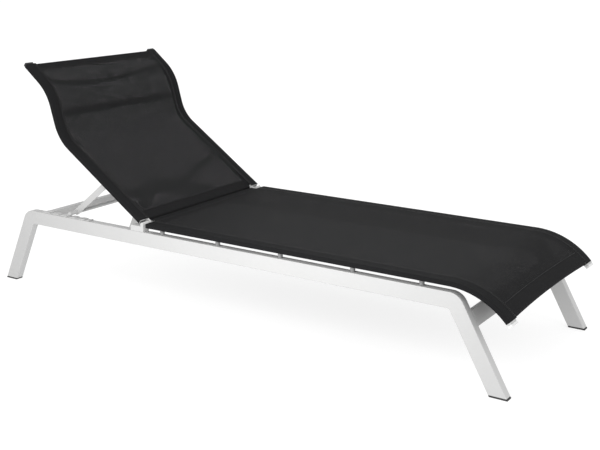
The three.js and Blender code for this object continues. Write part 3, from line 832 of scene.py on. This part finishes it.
class LOUNGER_OT_frame(bpy.types.Operator):
    """Build the two side frames, the cross rails, the glides and the spacers"""

    bl_idname = "lounger.frame"
    bl_label = "Welded frame"

    def execute(self, context):
        sizes = context.scene.lounger_frame
        coat = powder_coat()
        for side in SIDES:
            side_frame(side, sizes)
            for end in ("head", "foot"):
                node = f"{side}_{end}_glide"
                from_node(
                    node, f"{node}_pad", black_plastic(), "frame", EDGE["glide"], "black_plastic")
            for number in range(1, SPACERS + 1):
                node = f"{side}_spacer_{number}"
                from_node(
                    node, f"{node}_post", spacer_plastic(), "frame", EDGE["spacer"], "black_plastic")
            from_node(f"{side}_rack", f"{side}_rack_strip", coat, "frame", EDGE["rack"], "frame")
        for node in ("foot_cross_rail", "head_cross_rail"):
            from_node(node, f"{node}_tube", coat, "frame", EDGE["cross_rail"], "frame")
        return {"FINISHED"}


class LOUNGER_OT_hinge(bpy.types.Operator):
    """Build the hinge blocks, the hinge tube and the ears that turn on it"""

    bl_idname = "lounger.hinge"
    bl_label = "Backrest hinge"

    def execute(self, context):
        coat = powder_coat()
        for side in SIDES:
            block, ear = f"{side}_hinge_block", f"{side}_hinge_ear"
            from_node(block, f"{side}_hinge_mount", coat, "frame", EDGE["block"], "frame")
            from_node(ear, f"{side}_hinge_eye", coat, "backrest", EDGE["plate"], "frame")
        cross_tube("hinge_tube", "hinge_bar", "frame")
        return {"FINISHED"}


class LOUNGER_OT_prop(bpy.types.Operator):
    """Build the prop that holds the backrest up, and its lugs and bolts"""

    bl_idname = "lounger.prop"
    bl_label = "Prop"

    def execute(self, context):
        coat = powder_coat()
        for side in SIDES:
            arm, lug, bolt = (f"{side}_prop_{part}" for part in ("arm", "lug", "bolt"))
            from_node(arm, f"{side}_prop_strut", coat, "prop", EDGE["plate"], "frame")
            from_node(lug, f"{side}_prop_bracket", coat, "backrest", EDGE["plate"], "frame")
            from_node(bolt, f"{bolt}_head", plated_steel(), "backrest", EDGE["plate"], "bolt")
        cross_tube("prop_rod", "prop_bar", "prop")
        return {"FINISHED"}


def bowed_bar(name, node, path, distance, along, down, radius, body):
    """Adds a round tube across a sling's path; its middle is bowed along the path and down."""
    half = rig.box(node)[1].y
    points = []
    for i in range(BOW_STEPS + 1):
        t = -1 + 2 * i / BOW_STEPS
        full = 1 - t * t
        points.append(path.point(distance + along * full, -down(full), t * half))
    link_piece(name, tube_mesh(name, points, radius), powder_coat(), body, (node,), "frame")


def end_caps(side):
    """The plugs in the ends of the sling tubes on one side."""
    black = ("black_plastic", black_plastic())
    grey = ("grey_plastic", grey_plastic())
    for node, name, body, edge, (slot, material) in (
        ("foot_plug", "foot_cap", "frame", EDGE["cap"], grey),
        ("top_plug", "top_cap", "backrest", EDGE["cap"], black),
        ("seat_plug", "seat_cap", "frame", EDGE["plate"], black),
    ):
        from_node(f"{side}_{node}", f"{side}_{name}", material, body, edge, slot)


class LOUNGER_OT_sling_tubes(bpy.types.Operator):
    """Build the tubes that carry the slings, and their end plugs"""

    bl_idname = "lounger.sling_tubes"
    bl_label = "Sling tubes"

    def execute(self, context):
        coat, edge = powder_coat(), EDGE["stretcher"]
        for side in SIDES:
            from_node(f"{side}_seat_tube", f"{side}_seat_stretcher", coat, "frame", edge, "frame")
            from_node(f"{side}_back_tube", f"{side}_back_stretcher", coat, "backrest", edge, "frame")
            end_caps(side)
        seat, back = seat_path(), back_path()
        bowed_bar(
            "seat_foot_bar", "seat_foot_tube", seat, seat.length - FOOT_BAR_INSET, -FOOT_BOW,
            lambda full: 0.0, FOOT_BAR_RADIUS, "frame")
        for node, name in (
            ("back_lower_tube", "back_lower_bar"),
            ("neck_tube", "neck_bar"),
            ("head_end_tube", "head_end_bar"),
        ):
            cross_tube(node, name, "backrest")
        bowed_bar(
            "head_bar", "head_tube", back, back.length - HEAD_STRAIGHT, 0.0,
            lambda full: HEAD_BAR_DROP + HEAD_BAR_BOW * full, HEAD_BAR_RADIUS, "backrest")
        return {"FINISHED"}


# Slings -------------------------------------------------------------------------------------


@dataclass
class Sling:
    """One sling: where it lies on its path, and how its middle hangs between its hems."""

    name: str
    node: str
    body: str
    path: Path
    hems: tuple         # start and end of the side hems along the path
    tongue: tuple       # start and end of the middle, at the centres of its end pockets
    pockets: tuple      # depth of the two end pockets
    rests: list
    half_width: float
    sag: float
    drop: float = 0.0
    bow: float = 0.0
    # share of the weave's openings filled as painted shade, for the shadow under the sling
    closed: float = 0.0

    def settle(self, distance, share):
        """Shift along and down at a point; share runs from 0 in the middle to 1 at the hems."""
        first, last = self.tongue
        open_share = 1 - share * share
        down = self.sag * open_share * ease(min(distance - first, last - distance) / SAG_REACH)
        down += self.drop * (1 - ease((distance - first) / DROP_REACH))
        along = -self.bow * open_share * ease(1 - (last - distance) / BOW_REACH)
        return along, down

    def in_pocket(self, distance):
        first, last = self.tongue
        return distance - first < self.pockets[0] or last - distance < self.pockets[1]

    def flat_size(self, half):
        """Width and length of the cloth before it is sewn."""
        across = sum(math.hypot(b[0] - a[0], b[1] - a[1]) for a, b in zip(half, half[1:]))
        along = self.tongue[1] - self.tongue[0] + sum(self.pockets) + FOLDS
        return round(2 * across, 3), round(along, 3)


def ease(value):
    """A smooth step from 0 to 1."""
    value = max(0.0, min(1.0, value))
    return value * value * (3 - 2 * value)


def side_hem(sizes, half_width):
    """Half of the cloth's cross-section: (y, rise, hem) from the middle to the hidden seam."""
    clear = CLOTH_GAP + sizes.cloth / 2
    lift = sizes.tube_height / 2 + clear
    out = half_width + clear
    inner = HALF_WIDTH - sizes.tube_width - clear
    seam = HALF_WIDTH - sizes.seam
    edge = HALF_WIDTH - sizes.pocket
    turn = HEM_CORNER
    panel = [(edge * i / PANEL_COLUMNS, lift) for i in range(PANEL_COLUMNS + 1)]
    panel.append((seam - SEAM_STEP, lift))
    hem = [(seam + (out - turn - seam) * i / HEM_STEPS, lift) for i in range(HEM_STEPS)]
    hem += arc((out - turn, lift - turn), turn, math.pi / 2, 0, HEM_STEPS)
    hem += arc((out - turn, turn - lift), turn, 0, -math.pi / 2, HEM_STEPS)
    hem += arc((inner + turn, turn - lift), turn, -math.pi / 2, -math.pi, HEM_STEPS)
    down, across, past = TUCK
    hem += [(inner, lift - down), (inner - across, lift - PLY_DROP), (seam + past, lift - PLY_DROP)]
    return [(y, rise, 0.0) for y, rise in panel] + [(y, rise, 1.0) for y, rise in hem]


def end_pocket(reach, depth, lift, sense):
    """Rows (distance, rise) of an end pocket turned under; sense is -1 at the start, 1 at the end."""
    rows = []
    for x, rise in arc((0.0, 0.0), lift, math.pi / 2, -math.pi / 2, POCKET_STEPS)[1:]:
        rows.append((reach + sense * x, rise))
    for share in POCKET_SHARES:
        rows.append((reach - sense * share * depth, -lift))
    ply = lift - PLY_DROP
    for past, rise in zip(RETURN_STEPS, (RETURN_LEVEL * lift, ply, ply)):
        rows.append((reach - sense * (depth + past), rise))
    return rows


def sling_rows(sling, lift):
    """Rows of the cloth as (distance, rise or None): the order down the hems and down the middle."""
    (start, end), (first, last) = sling.hems, sling.tongue
    marks = set(sling.path.stops(start, end, ROW_STEP, BEND_STEP)) | {first, last}
    if first < start:
        marks |= set(sling.path.stops(first, start, TONGUE_STEP, BEND_STEP))
    crowded = [d for d in marks if d not in (start, end, first, last)
               and min(abs(d - first), abs(d - last)) < ROW_GAP]
    flat = [(d, None) for d in sorted(marks.difference(crowded))]
    hems = [row for row in flat if start <= row[0] <= end]
    middle = [row for row in flat if first <= row[0] <= last]
    before = list(reversed(end_pocket(first, sling.pockets[0], lift, -1)))
    return hems, before + middle + end_pocket(last, sling.pockets[1], lift, 1)


def row_places(sling, rows, middle_rows, lift):
    """How far along the cloth each row lies."""
    (first, last), places = sling.tongue, {}
    travelled, previous = 0.0, None
    for row in rows:
        distance, turned = row
        if row in middle_rows:
            spot = sling.path.point(distance, lift if turned is None else turned)
            travelled += 0.0 if previous is None else (spot - previous).length
            previous = spot
            places[row] = travelled
        else:
            places[row] = travelled + distance - last if distance > last else distance - first
    return places


def sling_mesh(sling, sizes):
    """The cloth: side hems run from end to end, the middle runs between two end pockets."""
    half = side_hem(sizes, sling.half_width)
    lift = half[0][1]
    columns = [(-y, rise, hem) for y, rise, hem in reversed(half[1:])] + half
    edge = HALF_WIDTH - sizes.pocket
    middle = {i for i, (y, rise, _) in enumerate(columns) if abs(y) <= edge + SAME_POINT and rise == lift}
    across = [0.0]
    for (y0, r0, _), (y1, r1, _) in zip(columns, columns[1:]):
        across.append(across[-1] + math.hypot(y1 - y0, r1 - r0))
    centre = across[len(columns) // 2]
    hem_rows, middle_rows = sling_rows(sling, lift)
    every_row = middle_rows + [row for row in hem_rows if row not in middle_rows]
    places = row_places(sling, every_row, middle_rows, lift)
    work = bmesh.new()
    hem_and_fill_layer = work.verts.layers.float.new("hem")
    cloth_layer = work.verts.layers.float_vector.new("cloth")
    lines = {}
    for row in every_row:
        distance, turned = row
        line = []
        for i, (y, rise, hem) in enumerate(columns):
            inner = i in middle
            if row not in (middle_rows if inner else hem_rows):
                line.append(None)
                continue
            level = rise if turned is None else turned
            along, down = sling.settle(distance, abs(y) / edge) if inner else (0.0, 0.0)
            vert = work.verts.new(sling.path.point(distance + along, level - down, y))
            in_band = turned is not None or sling.in_pocket(distance)
            # Hems and end pockets are covered in full; the seat panel's openings are filled part way as painted shade.
            vert[hem_and_fill_layer] = 1.0 if in_band else max(hem, sling.closed)
            vert[cloth_layer] = Vector((across[i] - centre, places[row], 0.0))
            line.append(vert)
        lines[row] = line
    for rows, wanted in ((middle_rows, (2,)), (hem_rows, (0, 1))):
        for a, b in zip(rows, rows[1:]):
            for i in range(len(columns) - 1):
                corners = (lines[a][i], lines[a][i + 1], lines[b][i + 1], lines[b][i])
                if (i in middle) + (i + 1 in middle) in wanted and None not in corners:
                    work.faces.new(corners)
    return finished_mesh(sling.name, work)


def stitch_row(work, spots, ups):
    """Small thread loops, one at each spot, lying along the row."""
    length, radius = STITCH_LENGTH, STITCH_RADIUS
    for spot, ahead, up in zip(spots, spots[1:], ups):
        direction = (ahead - spot).normalized()
        side = direction.cross(up).normalized()
        tips = [work.verts.new(spot + sign * direction * length / 2 - up * radius * TIP_SINK)
                for sign in (-1, 1)]
        rings = []
        for shift in (-CROWN, CROWN):
            ring = []
            for angle in (0, 60, 120, 180):
                a = math.radians(angle)
                ring.append(work.verts.new(
                    spot + direction * shift * length
                    + side * radius * math.cos(a) + up * radius * math.sin(a)))
            rings.append(ring)
        for k in range(3):
            work.faces.new((rings[0][k], rings[0][k + 1], rings[1][k + 1], rings[1][k]))
            work.faces.new((tips[0], rings[0][k + 1], rings[0][k]))
            work.faces.new((tips[1], rings[1][k], rings[1][k + 1]))
        work.faces.new((tips[0], rings[0][0], rings[1][0], tips[1], rings[1][3], rings[0][3]))


def stitching(sling, sizes):
    """Stitches along both side hems and across both end pockets."""
    lift = side_hem(sizes, sling.half_width)[0][1] + sizes.cloth / 2 + STITCH_PROUD
    (start, end), (first, last) = sling.hems, sling.tongue
    edge = HALF_WIDTH - sizes.pocket
    rows = []
    for sign in (-1, 1):
        for inset in HEM_ROWS:
            y = sign * (HALF_WIDTH - sizes.seam + inset)
            count = int((end - start) / STITCH_PITCH)
            rows.append([(start + (i + 0.5) * STITCH_PITCH, y, 0.0) for i in range(count)])
    for distance in (first + sling.pockets[0] + POCKET_ROW, last - sling.pockets[1] - POCKET_ROW):
        row = []
        for i in range(int(2 * edge / STITCH_PITCH)):
            y = -edge + (i + 0.5) * STITCH_PITCH
            along, down = sling.settle(distance, abs(y) / edge)
            row.append((distance + along, y, down))
        rows.append(row)
    work = bmesh.new()
    point = sling.path.point
    for row in rows:
        spots = [point(distance, lift - down, y) for distance, y, down in row]
        ups = [(point(d, 1.0, y) - point(d, 0.0, y)).normalized() for d, y, _ in row]
        stitch_row(work, spots, ups)
    name = f"{sling.name}_stitching"
    return link_piece(name, finished_mesh(name, work), thread_material(), sling.body, (), "sling")


def build_sling(sling):
    sizes = bpy.context.scene.lounger_sling
    mesh = sling_mesh(sling, sizes)
    piece = link_piece(sling.name, mesh, woven_material(), sling.body, (sling.node,), "sling")
    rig.sheet(
        piece, flat=sling.flat_size(side_hem(sizes, sling.half_width)), held="stretched",
        rests_on=sling.rests, with_pieces=[stitching(sling, sizes)])


class LOUNGER_OT_seat_sling(bpy.types.Operator):
    """Stretch the seat sling over its tubes and the hinge tube"""

    bl_idname = "lounger.seat_sling"
    bl_label = "Seat sling"

    def execute(self, context):
        path = seat_path()
        hinge = HINGE.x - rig.box("left_seat_tube")[0].x
        build_sling(Sling(
            "seat_cloth", "seat_sling", "frame", path,
            hems=(0.0, path.length - SEAT_END),
            tongue=(hinge, path.length - FOOT_BAR_INSET),
            pockets=SEAT_POCKETS,
            rests=["left_seat_stretcher", "right_seat_stretcher", "hinge_bar", "seat_foot_bar"],
            half_width=HALF_WIDTH,
            sag=context.scene.lounger_sling.sag,
            bow=FOOT_BOW,
            closed=SEAT_SHADE_FILL))
        return {"FINISHED"}


class LOUNGER_OT_back_sling(bpy.types.Operator):
    """Stretch the backrest sling over its tubes"""

    bl_idname = "lounger.back_sling"
    bl_label = "Backrest sling"

    def execute(self, context):
        path = back_path()
        lower, upper = BACK_TONGUE
        build_sling(Sling(
            "back_cloth", "back_sling", "backrest", path,
            hems=(BACK_HEM_START, path.length),
            tongue=(lower, path.length - upper),
            pockets=BACK_POCKETS,
            rests=["left_back_stretcher", "right_back_stretcher", "back_lower_bar", "head_end_bar"],
            half_width=BACK_HALF_WIDTH,
            sag=context.scene.lounger_sling.sag / 2,
            drop=LOWER_DROP))
        return {"FINISHED"}


# Stage --------------------------------------------------------------------------------------


def floor_mesh():
    """A wide flat floor."""
    reach = FLOOR_REACH
    work = bmesh.new()
    corners = [work.verts.new((x, y, 0.0)) for x, y in (
        (-reach, -reach), (reach, -reach), (reach, reach), (-reach, reach))]
    work.faces.new(corners)
    return finished_mesh("studio_floor", work)


def stage_material():
    """A pale floor that gives off some light of its own, so that shadows stay faint."""
    material, tree, shader = new_material("studio_floor")
    place = tree.nodes.new("ShaderNodeTexCoord")
    cloud = noise(tree, place.outputs["Object"], 0.4)
    tree.links.new(
        mix_colour(tree, cloud, (0.30, 0.30, 0.30), (0.33, 0.33, 0.33)), shader.inputs["Base Color"])
    shader.inputs["Roughness"].default_value = 0.9
    shader.inputs["Specular IOR Level"].default_value = 0.0
    shader.inputs["Emission Color"].default_value = (1, 1, 1, 1)
    shader.inputs["Emission Strength"].default_value = bpy.context.scene.lounger_stage.floor_glow
    return material


def area_light(name, place, target, width, power):
    data = bpy.data.lights.new(name, "AREA")
    data.shape = "SQUARE"
    data.size = width
    data.energy = power
    light = bpy.data.objects.new(name, data)
    bpy.context.scene.collection.objects.link(light)
    light.location = place
    light.rotation_mode = "QUATERNION"
    light.rotation_quaternion = (Vector(target) - Vector(place)).to_track_quat("-Z", "Y")


def studio_sky(strength):
    world = bpy.data.worlds.new("studio")
    world.use_nodes = True
    sky = world.node_tree.nodes["Background"]
    sky.inputs["Color"].default_value = (1, 1, 1, 1)
    sky.inputs["Strength"].default_value = strength
    return world


def studio_camera(sizes):
    data = bpy.data.cameras.new("camera")
    data.sensor_width = 36
    data.lens = sizes.lens
    data.shift_x, data.shift_y = CAMERA_SHIFT
    data.clip_end = 100
    camera = bpy.data.objects.new("camera", data)
    camera.location = CAMERA_PLACE
    camera.rotation_euler = (math.pi / 2 - sizes.elevation, 0, sizes.azimuth)
    return camera


class LOUNGER_OT_stage(bpy.types.Operator):
    """Lay the floor, hang the lights and set up the camera"""

    bl_idname = "lounger.stage"
    bl_label = "Stage"

    def execute(self, context):
        scene = context.scene
        sizes = scene.lounger_stage
        floor = bpy.data.objects.new("studio_floor", floor_mesh())
        floor.data.materials.append(stage_material())
        floor.location.z = -FLOOR_DROP
        scene.collection.objects.link(floor)
        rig.stage(floor)
        scene.world = studio_sky(sizes.sky)
        for light in LIGHTS:
            area_light(*light)
        camera = studio_camera(sizes)
        scene.collection.objects.link(camera)
        scene.camera = camera
        scene.view_settings.view_transform = "Standard"
        return {"FINISHED"}


OPERATORS = (
    LOUNGER_OT_frame,
    LOUNGER_OT_hinge,
    LOUNGER_OT_prop,
    LOUNGER_OT_sling_tubes,
    LOUNGER_OT_seat_sling,
    LOUNGER_OT_back_sling,
    LOUNGER_OT_stage,
)


class LOUNGER_PT_panel(bpy.types.Panel):
    """Lists the sizes and the steps of the build"""

    bl_idname = "LOUNGER_PT_panel"
    bl_label = "Sun lounger"
    bl_space_type = "VIEW_3D"
    bl_region_type = "UI"
    bl_category = "Lounger"

    def draw(self, context):
        layout = self.layout
        for group in ("lounger_frame", "lounger_sling", "lounger_stage"):
            sizes = getattr(context.scene, group)
            for name in sizes.bl_rna.properties.keys():
                if name not in ("rna_type", "name"):
                    layout.prop(sizes, name)
        for operator in OPERATORS:
            layout.operator(operator.bl_idname)


CLASSES = (FrameSizes, SlingSizes, StageSizes, *OPERATORS, LOUNGER_PT_panel)


def register():
    for cls in CLASSES:
        bpy.utils.register_class(cls)
    bpy.types.Scene.lounger_frame = PointerProperty(type=FrameSizes)
    bpy.types.Scene.lounger_sling = PointerProperty(type=SlingSizes)
    bpy.types.Scene.lounger_stage = PointerProperty(type=StageSizes)


def unregister():
    del bpy.types.Scene.lounger_stage
    del bpy.types.Scene.lounger_sling
    del bpy.types.Scene.lounger_frame
    for cls in reversed(CLASSES):
        bpy.utils.unregister_class(cls)


def main():
    register()
    for operator in OPERATORS:
        getattr(bpy.ops.lounger, operator.bl_idname.partition(".")[2])()
    bpy.context.view_layer.update()
    boxes = {"cad": CAD_BOX, "visual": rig.bounds()}
    with open(SIZE_FILE, "w") as out:
        json.dump({name: [list(corner) for corner in box] for name, box in boxes.items()}, out)


if __name__ == "__main__":
    main()
